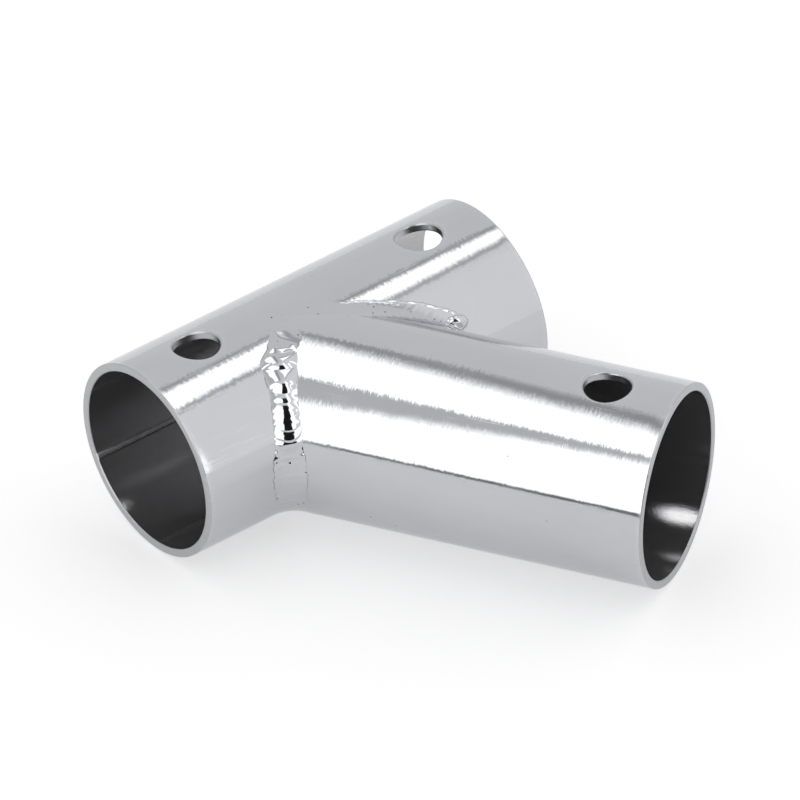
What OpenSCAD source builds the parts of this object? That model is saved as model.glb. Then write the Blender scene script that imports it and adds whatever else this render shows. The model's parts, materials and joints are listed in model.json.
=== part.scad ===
// Angled tee sleeve: a short branch tube coped and welded onto a run tube.
// The origin is where the two tube axes cross. The run lies along X, its long arm towards +X.
// The branch leaves towards -Y, turned towards +X, and the screw holes face +Z.
// Turns are counted from a tube's top, on the run towards the branch, and on the branch towards
// its open corner.

/* [Tube] */
// Outer diameter of both tubes
tube_od = 28; // [20:0.5:32]
// Wall thickness of both tubes
tube_wall = 1.2; // [0.8:0.1:2]
// Broken edge at each sawn end
end_break = 0.2; // [0.05:0.05:0.35]

/* [Run] */
// Run tube, from the crossing of the axes to its short end
run_short = 21.5; // [17:0.5:60]
// Run tube, from the crossing of the axes to its long end
run_long = 35.5; // [32:0.5:80]

/* [Branch] */
// Angle between the run's long arm and the branch
branch_angle = 60; // [50:1:90]
// Branch tube, from the crossing of the axes to its end
branch_reach = 57.5; // [45:0.5:120]
// Gap left between the cope and the run for the weld
cope_gap = 0.05; // [0.04:0.01:0.2]
// How far the weld's heat upsets the branch's wall inwards, next to the run
weld_upset = 0.25; // [0.23:0.01:0.3]
// Length over which the bore narrows to that
upset_run = 1; // [0.5:0.1:2]
// Clearance between the full bore's inner end and the run's wall
sleeve_clear = 0.5; // [0.3:0.1:2]

/* [Screw holes] */
// Diameter of each screw hole
hole_d = 6.4; // [3:0.1:8]
// Each hole's centre, from the end of its tube
hole_inset = 9.8; // [7:0.1:11]
// Width of the broken edge round each hole
hole_break = 0.4; // [0.1:0.1:0.8]
// Turn of the run's holes from the top, away from the branch
run_hole_turn = 4.5; // [-10:0.5:10]
// Turn of the branch's hole from the top, towards the tight corner
branch_hole_turn = 1; // [-10:0.5:10]

/* [Tube seam] */
// Width of the seam bead inside each tube
seam_w = 0.9; // [0.4:0.1:1.6]
// Height of the seam bead above the bore
seam_h = 0.2; // [0.1:0.02:0.22]
// Place of the run's seam round its bore
run_seam_turn = 242; // [100:1:260]
// Place of the branch's seam round its bore
branch_seam_turn = 105; // [60:1:300]

/* [Weld bead] */
// Leg of the bead at the open corner, along each tube
leg_open = 3; // [1.5:0.1:4]
// Leg of the bead at the tight corner, along each tube
leg_tight = 4.2; // [2:0.1:5]
// Leg of the bead at the joint's two tips, where it is dressed flush
leg_tip = 1.5; // [1:0.1:3]
// Crown of the bead where it is left as welded
crown_h = 0.6; // [0.4:0.05:1]
// Crown of the bead where it is dressed smooth
dressed_h = 0.25; // [0.15:0.05:0.5]
// Crown of the bead at the joint's two tips
tip_h = 0.14; // [0.1:0.02:0.3]
// Height left on the bead where it is dressed flush underneath
flush_h = 0.08; // [0.05:0.01:0.2]
// Length of one ripple along the bead
ripple_pitch = 1.6; // [1.2:0.1:3]
// Height of a ripple at the open corner
ripple_h = 0.3; // [0.1:0.05:0.5]
// Height of a ripple at the tight corner
ripple_tight_h = 0.12; // [0.05:0.01:0.3]
// Where the ripples start, in degrees round the joint from its top
ripple_top = 14; // [6:1:30]
// Where the ripples end and the smooth underside starts
ripple_low = 78; // [50:1:120]
// Where the welder stopped, on the tight corner's side
stop_turn = 56; // [30:1:80]
// Width of the lump at the stop
stop_w = 3; // [1.5:0.1:5]
// Height of the lump at the stop
stop_h = 0.6; // [0.2:0.05:1]
// Clearance between the bead's back and the tubes
bead_seat = 0.03; // [0.02:0.01:0.05]

/* [Hidden] */
$fn = 180;
tube_r = tube_od / 2;
bore_r = tube_r - tube_wall;
hole_r = hole_d / 2;
past = 1;

// Circle whose cap is seam_w wide and stands seam_h proud of the bore
seam_r = (seam_w * seam_w / 4 + seam_h * seam_h) / (2 * seam_h);

// Rings of the bead: whole ripples on each half of the joint, four rings to a ripple
ripple_rings = 4;
half_turn = 180;
tight_half = half_ellipse(tube_r, tube_r / sin(branch_angle / 2));
open_half = half_ellipse(tube_r, tube_r / cos(branch_angle / 2));
tight_ripples = max(8, round(tight_half / ripple_pitch));
open_ripples = max(8, round(open_half / ripple_pitch));
tight_rings = tight_ripples * ripple_rings;
open_rings = open_ripples * ripple_rings;
ring_count = tight_rings + open_rings;

// Each ring runs over the bead's face in face_steps and back along its root in root_steps a side
face_steps = 6;
root_steps = 2;
ring_points = face_steps + 2 * root_steps;

// Degrees over which the ripples fade in and out
ripple_fade = 9;

// Degrees from a tip of the joint within which the toe swings round it and the bead narrows
tip_turn = 16;
narrow_turn = 30;

// How far the ripples bow forward in the middle, and how much of a ripple shows at the toes
ripple_bow = 0.4;
toe_share = 0.5;

// Length of half an ellipse with these semi-axes, to well under 1 %
function half_ellipse(a, b) =
    let (h = pow((a - b) / (a + b), 2))
    PI / 2 * (a + b) * (1 + 3 * h / (10 + sqrt(4 - 3 * h)));

// 0 below the first value, 1 above the second, smooth between
function ease(low, high, x) =
    let (q = min(1, max(0, (x - low) / (high - low))))
    q * q * (3 - 2 * q);

// Joint of two tubes of radius r. t is the angle round the branch from its top, first over
// the tight corner at 90, then under the joint at 180, then over the open corner at 270.
function joint_reach(t, r) = r * (sin(t) * cos(branch_angle) + abs(sin(t))) / sin(branch_angle);
function branch_normal(t) = [sin(t) * sin(branch_angle), sin(t) * cos(branch_angle), cos(t)];
function branch_point(t, r, reach) =
    r * branch_normal(t) + reach * [cos(branch_angle), -sin(branch_angle), 0];
function joint_point(t, r) = branch_point(t, r, joint_reach(t, r));

// The same place as an angle round the run, from the top towards the branch
function run_turn(t) = half_turn - abs(half_turn - t);
function run_normal(t) = [0, -sin(run_turn(t)), cos(run_turn(t))];
function run_point(x, turn, r) = [x, -r * sin(turn), r * cos(turn)];

// Direction in which the bead's leg runs over the run tube: 0 is +X and 180 is -X.
// At the joint's two tips it swings round the back of the corner.
function leg_heading(t) =
    t < tip_turn ? half_turn * (1 - ease(-tip_turn, tip_turn, t))
    : t < half_turn - tip_turn ? 0
    : t < half_turn + tip_turn ? half_turn * ease(half_turn - tip_turn, half_turn + tip_turn, t)
    : t < 2 * half_turn - tip_turn ? half_turn
    : half_turn * (1 - ease(-tip_turn, tip_turn, t - 2 * half_turn));

// Where the bead is left as welded, 1, and where it is dressed smooth, 0
function as_welded(t) =
    ease(ripple_top - ripple_fade, ripple_top + ripple_fade, run_turn(t))
    * (1 - ease(ripple_low - ripple_fade, ripple_low + ripple_fade, run_turn(t)));

// One round-topped ripple with a sharp valley on each side
function ripple(phase) = abs(sin(half_turn * phase));
function ripple_size(t) = as_welded(t) * (ripple_h + (ripple_tight_h - ripple_h) * (1 + sin(t)) / 2);
function stop_lump(t) = exp(-pow((t - stop_turn) * PI / half_turn * 2 * tube_r / stop_w, 2));

// 0 at the joint's two tips and 1 away from them
function off_tip(t) = ease(0, narrow_turn, min(run_turn(t), half_turn - run_turn(t)));
function full_leg(t) = leg_open + (leg_tight - leg_open) * (1 + sin(t)) / 2;
function leg(t) = leg_tip + (full_leg(t) - leg_tip) * off_tip(t);
function crown(t) =
    let (away = tip_h + (dressed_h - tip_h) * off_tip(t))
    away + (crown_h - away) * as_welded(t);

// Toes and root of the bead at t
function run_toe(t, length) =
    let (side = length * sin(leg_heading(t)) / tube_r * half_turn / PI)
    let (back = run_turn(t) < 90 ? -side : side)
    let (x = joint_point(t, tube_r)[0] + length * cos(leg_heading(t)))
    run_point(x, run_turn(t) + back, tube_r + bead_seat);
function branch_toe(t, length) = branch_point(t, tube_r + bead_seat, joint_reach(t, tube_r) + length);

// A point on the bead's face: v is 0 at the run's toe and 1 at the branch's
function face_point(t, phase, v) =
    let (wave = ripple_size(t) * toe_share * ripple(phase))
    let (lump = stop_h * stop_lump(t))
    let (from = run_toe(t, leg(t) + wave + lump))
    let (to = branch_toe(t, leg(t) + wave))
    let (sum = run_normal(t) + branch_normal(t))
    let (out = sum / norm(sum))
    let (lift = (from + to) / 2 + 2 * crown(t) * out)
    let (arch = 4 * v * (1 - v))
    let (rise = ripple_size(t) * ripple(phase - ripple_bow * arch) * sqrt(arch))
    let (bump = lump * pow(1 - v, 2) * arch * 3)
    let (p = pow(1 - v, 2) * from + 2 * v * (1 - v) * lift + v * v * to + (rise + bump) * out)
    [p[0], p[1], max(p[2], -tube_r - flush_h)];

// A ring: over the face from the run's toe to the branch's, then back along the root
function bead_ring(t, phase) = [
    for (k = [0 : face_steps])
        face_point(t, phase, k / face_steps),
    for (k = [1 : root_steps - 1])
        branch_toe(t, leg(t) * (1 - k / root_steps)),
    joint_point(t, tube_r + bead_seat),
    for (k = [1 : root_steps - 1])
        run_toe(t, leg(t) * k / root_steps),
];

// Angle of ring j round the joint, and its place in the count of ripples
function ring_angle(j) =
    j < tight_rings ? half_turn * j / tight_rings
    : half_turn + half_turn * (j - tight_rings) / open_rings;

module along_run() {
    rotate([0, 90, 0]) rotate([0, 0, 180]) children();
}

module along_branch() {
    rotate([0, 0, -branch_angle]) along_run() children();
}

// Rod with broken edges, drawn upright. The top of the tube is at +X, and the revolve starts at
// its side, away from the joint's tips.
module rod(low, high) {
    rotate([0, 0, 90]) rotate_extrude()
        polygon([
            [0, low],
            [tube_r - end_break, low],
            [tube_r, low + end_break],
            [tube_r, high - end_break],
            [tube_r - end_break, high],
            [0, high]
        ]);
}

// Everything inside the tube's wall, with the seam bead left standing. The entry is the bore's
// outline at its low end, where it is a broken edge or narrows.
module bore(low, high, entry, seam_turn) {
    difference() {
        rotate_extrude()
            polygon([
                [0, low - past],
                each entry,
                [bore_r, high - end_break],
                [bore_r + end_break + past, high + past],
                [0, high + past]
            ]);
        rotate([0, 0, seam_turn])
            translate([bore_r - seam_h + seam_r, 0, low - 2 * past])
                cylinder(r = seam_r, h = high - low + 4 * past);
    }
}

// Drill for one screw hole through the upper wall, with the cutter for its broken edge
module screw_drill(place, turn) {
    translate([0, 0, place]) rotate([0, 0, turn]) rotate([0, 90, 0]) {
        cylinder(r = hole_r, h = tube_r + past);
        translate([0, 0, tube_r - hole_break])
            cylinder(r1 = hole_r, r2 = hole_r + hole_break + past, h = hole_break + past);
    }
}

module run_tube() {
    entry = [[bore_r + end_break + past, -run_short - past], [bore_r, -run_short + end_break]];
    color([0.76, 0.76, 0.78])
    along_run()
        difference() {
            rod(-run_short, run_long);
            bore(-run_short, run_long, entry, run_seam_turn);
            screw_drill(hole_inset - run_short, -run_hole_turn);
            screw_drill(run_long - hole_inset, -run_hole_turn);
        }
}

// The branch's inner end is cut to a saddle that sits on the run. Its full bore starts just clear
// of the run's wall at the tight corner, and below that it is upset by the weld.
module branch_tube() {
    upset_r = bore_r - weld_upset;
    sleeve_low = joint_reach(90, tube_r) + sleeve_clear;
    entry = [[upset_r, -past], [upset_r, sleeve_low - upset_run], [bore_r, sleeve_low]];
    color([0.74, 0.75, 0.77])
    difference() {
        along_branch()
            difference() {
                rod(0, branch_reach);
                bore(0, branch_reach, entry, branch_seam_turn);
                screw_drill(branch_reach - hole_inset, -branch_hole_turn);
            }
        along_run()
            translate([0, 0, -run_short - run_long])
                cylinder(r = tube_r + cope_gap, h = 2 * (run_short + run_long));
    }
}

module weld_bead() {
    rings = [for (j = [0 : ring_count - 1]) bead_ring(ring_angle(j), j / ripple_rings)];
    points = [for (ring = rings) each ring];
    sides = [
        for (j = [0 : ring_count - 1])
            for (i = [0 : ring_points - 1])
                let (a = j * ring_points + i)
                let (b = j * ring_points + (i + 1) % ring_points)
                let (c = (j + 1) % ring_count * ring_points + (i + 1) % ring_points)
                let (d = (j + 1) % ring_count * ring_points + i)
                each [[a, c, b], [a, d, c]]
    ];
    color([0.83, 0.83, 0.84])
    polyhedron(points, sides);
}

run_tube();
branch_tube();
weld_bead();
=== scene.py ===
# %% [markdown]
# This lesson dresses an angled tee sleeve fitting: two lengths of polished stainless steel tube,
# one coped and welded onto the other at 60 degrees, with a screw hole near each open end. The
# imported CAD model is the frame. It gives every size and place, and the pieces made here stand
# exactly where its solids stand, so nothing has to be fitted afterwards.

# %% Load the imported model
import json
import math
from functools import partial

import bpy
import numpy as np
from mathutils import Matrix, Vector


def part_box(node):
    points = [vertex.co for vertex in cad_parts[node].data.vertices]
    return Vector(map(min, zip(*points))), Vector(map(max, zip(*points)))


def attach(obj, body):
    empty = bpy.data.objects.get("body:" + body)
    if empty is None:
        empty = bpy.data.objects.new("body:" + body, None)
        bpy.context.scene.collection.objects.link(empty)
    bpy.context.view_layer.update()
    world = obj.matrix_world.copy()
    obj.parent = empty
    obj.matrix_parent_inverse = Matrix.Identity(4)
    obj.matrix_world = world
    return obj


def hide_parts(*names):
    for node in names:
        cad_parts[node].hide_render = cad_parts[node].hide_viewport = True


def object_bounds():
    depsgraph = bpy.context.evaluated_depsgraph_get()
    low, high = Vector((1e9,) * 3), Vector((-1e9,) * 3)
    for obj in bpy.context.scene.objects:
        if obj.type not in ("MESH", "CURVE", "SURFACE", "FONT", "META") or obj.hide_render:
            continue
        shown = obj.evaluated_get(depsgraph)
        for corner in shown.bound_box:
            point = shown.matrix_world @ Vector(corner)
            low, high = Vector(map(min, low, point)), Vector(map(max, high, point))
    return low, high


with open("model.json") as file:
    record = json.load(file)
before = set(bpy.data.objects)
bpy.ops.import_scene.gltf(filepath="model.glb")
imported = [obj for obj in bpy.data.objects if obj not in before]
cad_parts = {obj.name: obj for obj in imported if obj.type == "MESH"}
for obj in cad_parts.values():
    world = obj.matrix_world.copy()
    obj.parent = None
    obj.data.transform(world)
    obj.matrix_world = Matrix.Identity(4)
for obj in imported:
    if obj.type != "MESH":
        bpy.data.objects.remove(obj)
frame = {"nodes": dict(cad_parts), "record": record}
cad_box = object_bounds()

print("CAD nodes:", sorted(frame["nodes"]))

# %% [markdown]
# Blender works in metres, but a fitting like this is easier to think of in millimetres. So all
# lengths below are millimetres, and they turn into metres only where a mesh is made. The driving
# sizes come from the frame: the tubes' radii, where they end, and how far the branch leans. The
# CAD's round rim is drawn with facets, so the branch stops a hair short to stay in its box.

# %% Read the sizes from the frame
MM = 0.001
UP = np.array([0.0, 0.0, 1.0])
mounts = {mount["name"]: mount for mount in frame["record"]["mounts"]}
run_low, run_high = [np.array(corner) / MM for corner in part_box("run_tube")]

tube_r = run_high[2]
bore_r = mounts["run_bore"]["dims"]["r_mm"]
hole_r = mounts["branch_screw_hole"]["dims"]["r_mm"]
wall = tube_r - bore_r
branch_axis = np.array(mounts["branch_bore"]["axis"])
lean_cos = branch_axis[0]
lean_sin = -branch_axis[1]
branch_points = np.array([point.co for point in frame["nodes"]["branch_tube"].data.vertices]) / MM
FACET_LOSS = 0.016
branch_reach = float(np.max(branch_points @ branch_axis)) - FACET_LOSS
print(f"tube {2 * tube_r:.1f} x {wall:.1f} mm, branch reaches {branch_reach:.2f} mm")

# %% [markdown]
# A point on a tube is easiest to give as the tubemaker would: how far along the axis, how far
# round from the top, and how far out from the axis. One function turns these three numbers into a
# place in the frame, for both tubes. The run is turned towards the branch's side, and the branch
# towards its open corner, the one that faces the camera.

# %% Place points on a tube
RUN = {"axis": np.array([1.0, 0.0, 0.0]), "side": np.array([0.0, -1.0, 0.0])}
BRANCH = {"axis": branch_axis, "side": np.array([-lean_sin, -lean_cos, 0.0])}


def on_tube(tube, reach, turn, radius):
    turn = np.radians(turn)
    out = np.cos(turn)[..., None] * UP + np.sin(turn)[..., None] * tube["side"]
    return reach[..., None] * tube["axis"] + radius[..., None] * out


def hole_place(tube, name):
    """Reach and turn of a screw hole's centre, from its mount."""
    centre = np.array(mounts[name]["pos_m"]) / MM
    turn = math.degrees(math.atan2(centre @ tube["side"], centre @ UP))
    return centre @ tube["axis"], turn


short_hole = hole_place(RUN, "run_short_screw_hole")
long_hole = hole_place(RUN, "run_long_screw_hole")
branch_hole = hole_place(BRANCH, "branch_screw_hole")
print("screw holes (reach, turn):", short_hole, long_hole, branch_hole)

# %% [markdown]
# A polished surface shows every flaw of its mesh, because each face mirrors its surroundings. A
# hole cut with a boolean leaves long thin triangles, which show as creases in the reflections. So
# each tube is made as one closed sheet of quads: rings follow one another over the outside, round
# the rim, back along the bore and round the other rim. Windows are left open in it for the holes.

# %% Turns and stations of the grid
ROUND_LINES = 288
LINE_STEP = 360 / ROUND_LINES
STATION_STEP = 0.5
WINDOW_REACH = 5.0
WINDOW_LINES = 16
SEAM_LINES = 15
RIM_LINE = 0.04


def turn_lines(hole_turn, seam_turn, seam_half):
    """Turns round a tube, evenly spaced from the hole's turn and closer together on the seam."""
    even = hole_turn - 180 + LINE_STEP * np.arange(ROUND_LINES)
    even = even[np.abs(even - seam_turn) > seam_half + LINE_STEP / 3]
    fine = np.linspace(seam_turn - seam_half, seam_turn + seam_half, SEAM_LINES)
    return np.sort(np.concatenate([even, fine]))


def station_line(breaks, step=STATION_STEP):
    """Places along a tube, at most a step apart, with one exactly at each break."""
    parts = []
    for low, high in zip(breaks, breaks[1:]):
        count = max(1, math.ceil((high - low) / step))
        parts.append(np.linspace(low, high, count + 1)[:-1])
    return np.concatenate(parts + [np.array([breaks[-1]])])


print(f"{ROUND_LINES} lines round each tube, {LINE_STEP} degrees apart")

# %% [markdown]
# The real tube isn't quite true. Belt polishing leaves slow waves a few microns deep, which make
# the edges of each reflection wander, and deburring takes a little off the last two millimetres
# at each end. Both are only ever cut into the wall, so the piece stays inside the CAD solid's box.

# %% Waves and eased ends of the polished wall
WAVE_DEPTH = 0.012
END_EASE_DEPTH = 0.02
END_EASE_RUN = 2.0
WAVES = [
    (11.0, 3, 0.4),
    (7.3, -5, 1.9),
    (17.0, 2, 4.1),
    (5.1, 7, 2.6),
]


def ease(low, high, x):
    """0 below the first value, 1 above the second, smooth between."""
    share = np.clip((x - low) / (high - low), 0, 1)
    return share * share * (3 - 2 * share)


def polished_radius(reach, turn, ends):
    wave = sum(
        np.sin(2 * math.pi * reach / length + np.radians(turn) * lobes + start)
        for length, lobes, start in WAVES
    )
    drop = WAVE_DEPTH * (1 + wave / len(WAVES)) / 2
    for end in ends:
        drop = drop + END_EASE_DEPTH * (1 - ease(0, END_EASE_RUN, np.abs(end - reach))) ** 2
    return tube_r - drop


print(f"the polish cuts up to {WAVE_DEPTH + END_EASE_DEPTH} mm into the wall")

# %% [markdown]
# Welded tube has a seam inside, where the rolled strip was joined and the bead only planed, not
# removed. It catches the light as a thin bright line in the dark bore. The crest wavers a little.

# %% Seam bead inside the bore
SEAM_HEIGHT = 0.2
SEAM_WIDTH = 0.9
RUN_SEAM_TURN = 242 - 360
BRANCH_SEAM_TURN = 105
SEAM_WAVER = 0.18
SEAM_BEATS = (2.1, 0.83)
SEAM_FULLNESS = 0.8


def bore_radius(reach, turn, seam_turn):
    across = np.radians(turn - seam_turn) * bore_r / (SEAM_WIDTH / 2)
    crest = np.clip(1 - across ** 2, 0, 1) ** SEAM_FULLNESS
    beat = np.sin(reach * SEAM_BEATS[0]) * np.sin(reach * SEAM_BEATS[1] + 1)
    waver = 1 + SEAM_WAVER * beat
    return bore_r - SEAM_HEIGHT / (1 + SEAM_WAVER) * waver * crest


print(f"seams {SEAM_HEIGHT} mm high, {RUN_SEAM_TURN} and {BRANCH_SEAM_TURN} degrees from the top")

# %% [markdown]
# The rings of one tube wall. A rim is a sawn end face with its two edges broken by hand, so it
# gets a small round on each side. The branch's inner end is different: it is a saddle, cut to the
# run's outer surface, so its reach changes all the way round.

# %% Rings of a tube wall
EDGE_ROUND = 0.2
EDGE_STEPS = 5
FACE_STEPS = 6
OUTSIDE, END_FACE, INSIDE = 0, 1, 2


def rim_rings(end, inwards):
    """Rings over a sawn end, from the outer wall to the bore. inwards is -1 at the high end."""
    back = inwards * EDGE_ROUND
    low, high = bore_r + EDGE_ROUND, tube_r - EDGE_ROUND
    swing = np.linspace(0, math.pi / 2, EDGE_STEPS)
    rings = []
    for a in swing[1:]:
        rings.append((end + back * (1 - math.sin(a)), tube_r - EDGE_ROUND * (1 - math.cos(a))))
    for share in np.linspace(0, 1, FACE_STEPS + 1)[1:-1]:
        rings.append((end, high + (low - high) * share))
    for a in swing:
        rings.append((end + back * (1 - math.cos(a)), bore_r + EDGE_ROUND * (1 - math.sin(a))))
    return rings


print(f"{len(rim_rings(0, 1))} rings over a sawn end")

# %% [markdown]
# A screw hole was drilled through the upper wall after polishing, then its edge was broken, which
# leaves a soft bright ring. Each hole fills its window with rings that go from a square to a
# circle on the outside, roll over the edge, run down the wall and open out again in the bore.

# %% Rings of a screw hole
PATCH_SHARES = (0.18, 0.36, 0.53, 0.68, 0.8, 0.89, 0.95)
LIP = (
    # how much wider than the hole, depth under the surface
    (0.36, 0.0),
    (0.27, 0.01),
    (0.18, 0.035),
    (0.1, 0.09),
    (0.04, 0.17),
    (0.0, 0.28),
)
TUNNEL = ((0.0, 0.45), (0.0, 0.7), (0.0, 0.95), (0.0, 1.1), (0.05, 1.17), (0.14, 1.2))
OUTSIDE_RINGS = len(PATCH_SHARES) + 2


def window_border(stations, lines):
    """Grid places round a window, in order, from its first and last station and line."""
    s0, s1 = stations
    l0, l1 = lines
    border = [(s, l0) for s in range(s0, s1)]
    border += [(s1, l) for l in range(l0, l1)]
    border += [(s, l1) for s in range(s1, s0, -1)]
    border += [(s0, l) for l in range(l1, l0, -1)]
    return border


def hole_rings(tube, hole, reach, turn, outer_radius, inner_radius):
    """Rings from the outer window's border to the inner one's, as lists of points. reach and turn
    are the border's own."""
    hole_reach, hole_turn = hole
    along = reach - hole_reach
    swing = np.radians(turn - hole_turn)
    angle = np.arctan2(tube_r * np.sin(swing), along)

    def ring(size, share, wall_r, radius):
        """A ring that goes from the window, at share 0, to a circle of a size, at share 1."""
        edge = wall_r * np.sin(swing)
        a = along + (size * np.cos(angle) - along) * share
        b = edge + (size * np.sin(angle) - edge) * share
        place = hole_turn + np.degrees(np.arcsin(b / radius))
        return on_tube(tube, hole_reach + a, place, radius)

    first, last = hole_r + LIP[0][0], hole_r + TUNNEL[-1][0]
    rings = [ring(first, share, tube_r, outer_radius) for share in PATCH_SHARES]
    rings += [ring(hole_r + wider, 1, tube_r, outer_radius - depth) for wider, depth in LIP]
    rings += [ring(hole_r + wider, 1, tube_r, tube_r - depth + 0 * angle) for wider, depth in TUNNEL]
    rings += [ring(last, share, bore_r, inner_radius) for share in PATCH_SHARES[::-1]]
    return rings


print(f"{2 * len(PATCH_SHARES) + len(LIP) + len(TUNNEL)} rings through each screw hole")

# %% [markdown]
# One function makes the mesh of any piece here: it takes points in millimetres and faces, gives
# each face its finish, and smooths the shading. It also stores marks, which are numbers on the
# points that a finish can read later, such as how far a point is from a worn edge.

# %% Make a mesh piece
def place_object(name, data):
    thing = bpy.data.objects.new(name, data)
    bpy.context.scene.collection.objects.link(thing)
    return thing


def make_piece(name, points, faces, finishes, marks):
    mesh = bpy.data.meshes.new(name)
    mesh.from_pydata((np.asarray(points) * MM).tolist(), [], faces)
    mesh.polygons.foreach_set("material_index", finishes)
    mesh.polygons.foreach_set("use_smooth", [True] * len(faces))
    for mark, values in marks.items():
        layer = mesh.attributes.new(mark, "FLOAT", "POINT")
        layer.data.foreach_set("value", np.asarray(values, dtype=np.float32))
    mesh.update()
    print(f"{name}: {len(mesh.vertices)} points, {len(mesh.polygons)} faces")
    return place_object(name, mesh)


def tube_marks(tube, points, ends, holes, seam_turn):
    """Distance from the nearest sawn end or drilled hole, in mm, and 1 on the seam's crest."""
    points = np.asarray(points)
    reach = points @ tube["axis"]
    out = points - reach[:, None] * tube["axis"]
    radius = np.linalg.norm(out, axis=1)
    turn = np.arctan2(out @ tube["side"], out @ UP)
    from_edge = np.min([np.abs(reach - end) for end in ends], axis=0)
    for hole_reach, hole_turn in holes:
        swing = turn - math.radians(hole_turn)
        gap = np.abs(np.hypot(reach - hole_reach, tube_r * np.sin(swing)) - hole_r)
        from_edge = np.where(np.cos(swing) > 0, np.minimum(from_edge, gap), from_edge)
    off_seam = np.abs(np.angle(np.exp(1j * (turn - math.radians(seam_turn))))) * bore_r
    seam = np.clip(1 - (off_seam / (SEAM_WIDTH / 2)) ** 2, 0, 1) * (radius < bore_r + wall / 2)
    return {"from_edge": from_edge, "seam": seam}


# %% [markdown]
# A tube's wall is a list of rows: stations along the outside, the rim of the high end, the same
# stations back along the bore, and the rings of the low end. The polish and the seam set how far
# out each row is.

# %% Rows of a tube's wall
def level_station(reach, turns, radius):
    return reach + 0 * turns


def wall_rows(turns, stations, low_rings, ends, seam_turn, station):
    """Reach and radius on every line of each row, and the finish of the faces above it."""
    high = ends[-1]
    rows = []
    for reach in stations:
        place = station(reach, turns, tube_r)
        rows.append((place, polished_radius(place, turns, ends), OUTSIDE))
    polish = polished_radius(high + 0 * turns, turns, ends) - tube_r
    for reach, radius in rim_rings(high, -1):
        rows.append((reach + 0 * turns, radius + polish * (radius - bore_r) / wall, END_FACE))
    for reach in stations[::-1]:
        place = station(reach, turns, bore_r)
        rows.append((place, bore_radius(place, turns, seam_turn), INSIDE))
    for reach, radius in low_rings:
        rows.append((reach + 0 * turns, radius + 0 * turns, END_FACE))
    return rows


# %% [markdown]
# The tube itself: the grid of rows is closed on itself, the cells inside each window are left out,
# and the hole's rings are sewn to both windows.

# %% Build a tube
def build_tube(name, tube, turns, stations, low_rings, ends, seam_turn, holes, station=level_station):
    """stations are the places along the wall away from its ends, and station puts one on each
    line. low_rings are the rings of the low end, from the bore to the outside, and ends the
    places of the sawn ends."""
    rows = wall_rows(turns, stations, low_rings, ends, seam_turn, station)
    count = len(turns)
    points = np.concatenate([on_tube(tube, reach, turns, radius) for reach, radius, _ in rows])
    open_cells = set()
    borders = []
    last = len(rows) - len(low_rings) - 1
    for hole in holes:
        s0, s1 = [int(np.argmin(np.abs(stations - hole[0] - d))) for d in (-WINDOW_REACH, WINDOW_REACH)]
        middle = int(np.argmin(np.abs(turns - hole[1])))
        l0, l1 = middle - WINDOW_LINES, middle + WINDOW_LINES
        open_cells |= {(s, l) for s in range(s0, s1) for l in range(l0, l1)}
        open_cells |= {(last - s - 1, l) for s in range(s0, s1) for l in range(l0, l1)}
        borders.append((hole, window_border((s0, s1), (l0, l1))))

    faces, finishes = [], []
    for k, (_, _, finish) in enumerate(rows):
        above = (k + 1) % len(rows)
        if finish == OUTSIDE and rows[above][2] == END_FACE:
            finish = END_FACE
        for j in range(count):
            if (k, j) in open_cells:
                continue
            side = (j + 1) % count
            faces.append((k * count + j, k * count + side, above * count + side, above * count + j))
            finishes.append(finish)

    points = list(points)
    for hole, border in borders:
        reach = np.array([stations[s] for s, _ in border])
        turn = np.array([turns[l] for _, l in border])
        outer_radius = polished_radius(reach, turn, ends)
        inner_radius = bore_radius(reach, turn, seam_turn)
        rings = hole_rings(tube, hole, reach, turn, outer_radius, inner_radius)
        chain = [[s * count + l for s, l in border]]
        for ring in rings:
            chain.append(list(range(len(points), len(points) + len(border))))
            points.extend(ring)
        chain.append([(last - s) * count + l for s, l in border])
        inside_rings = len(chain) - 2 - len(PATCH_SHARES)
        for k, (outer, inner) in enumerate(zip(chain, chain[1:])):
            finish = OUTSIDE if k < OUTSIDE_RINGS else INSIDE if k >= inside_rings else END_FACE
            for i in range(len(border)):
                n = (i + 1) % len(border)
                faces.append((outer[i], inner[i], inner[n], outer[n]))
                finishes.append(finish)
    marks = tube_marks(tube, points, ends, holes, seam_turn)
    return make_piece(name, points, faces, finishes, marks)


# %% [markdown]
# The run tube is the straight piece. It is one closed wall with two holes.

# %% Run tube
SEAM_HALF_TURN = math.degrees(SEAM_WIDTH / 2 / bore_r)
run_ends = (run_low[0], run_high[0])
run_stations = station_line([
    run_ends[0] + EDGE_ROUND,
    run_ends[0] + EDGE_ROUND + RIM_LINE,
    short_hole[0] - WINDOW_REACH,
    short_hole[0] + WINDOW_REACH,
    long_hole[0] - WINDOW_REACH,
    long_hole[0] + WINDOW_REACH,
    run_ends[1] - EDGE_ROUND - RIM_LINE,
    run_ends[1] - EDGE_ROUND,
])
run_turns = turn_lines(short_hole[1], RUN_SEAM_TURN, SEAM_HALF_TURN)
run_low_rings = rim_rings(run_ends[0], 1)[::-1]
run_piece = build_tube(
    "run_wall", RUN, run_turns, run_stations, run_low_rings, run_ends, RUN_SEAM_TURN,
    [short_hole, long_hole],
)

# %% [markdown]
# The branch tube meets the run in a saddle. Two round tubes that cross at an angle meet along a
# curve in space, and its reach along the branch follows from the two radii and the lean. The
# stations near the saddle are drawn out towards it, so the quads follow the cut edge.

# %% Saddle curve
COPE_GAP = 0.05
SADDLE_CLEAR = 30.0


def saddle_reach(turn, radius, run_radius):
    """Reach along the branch at which a line of its wall meets the run's surface."""
    turn = np.radians(turn)
    across = np.sqrt(np.maximum(run_radius ** 2 - (radius * np.cos(turn)) ** 2, 0))
    return (across - radius * np.sin(turn) * lean_cos) / lean_sin


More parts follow.
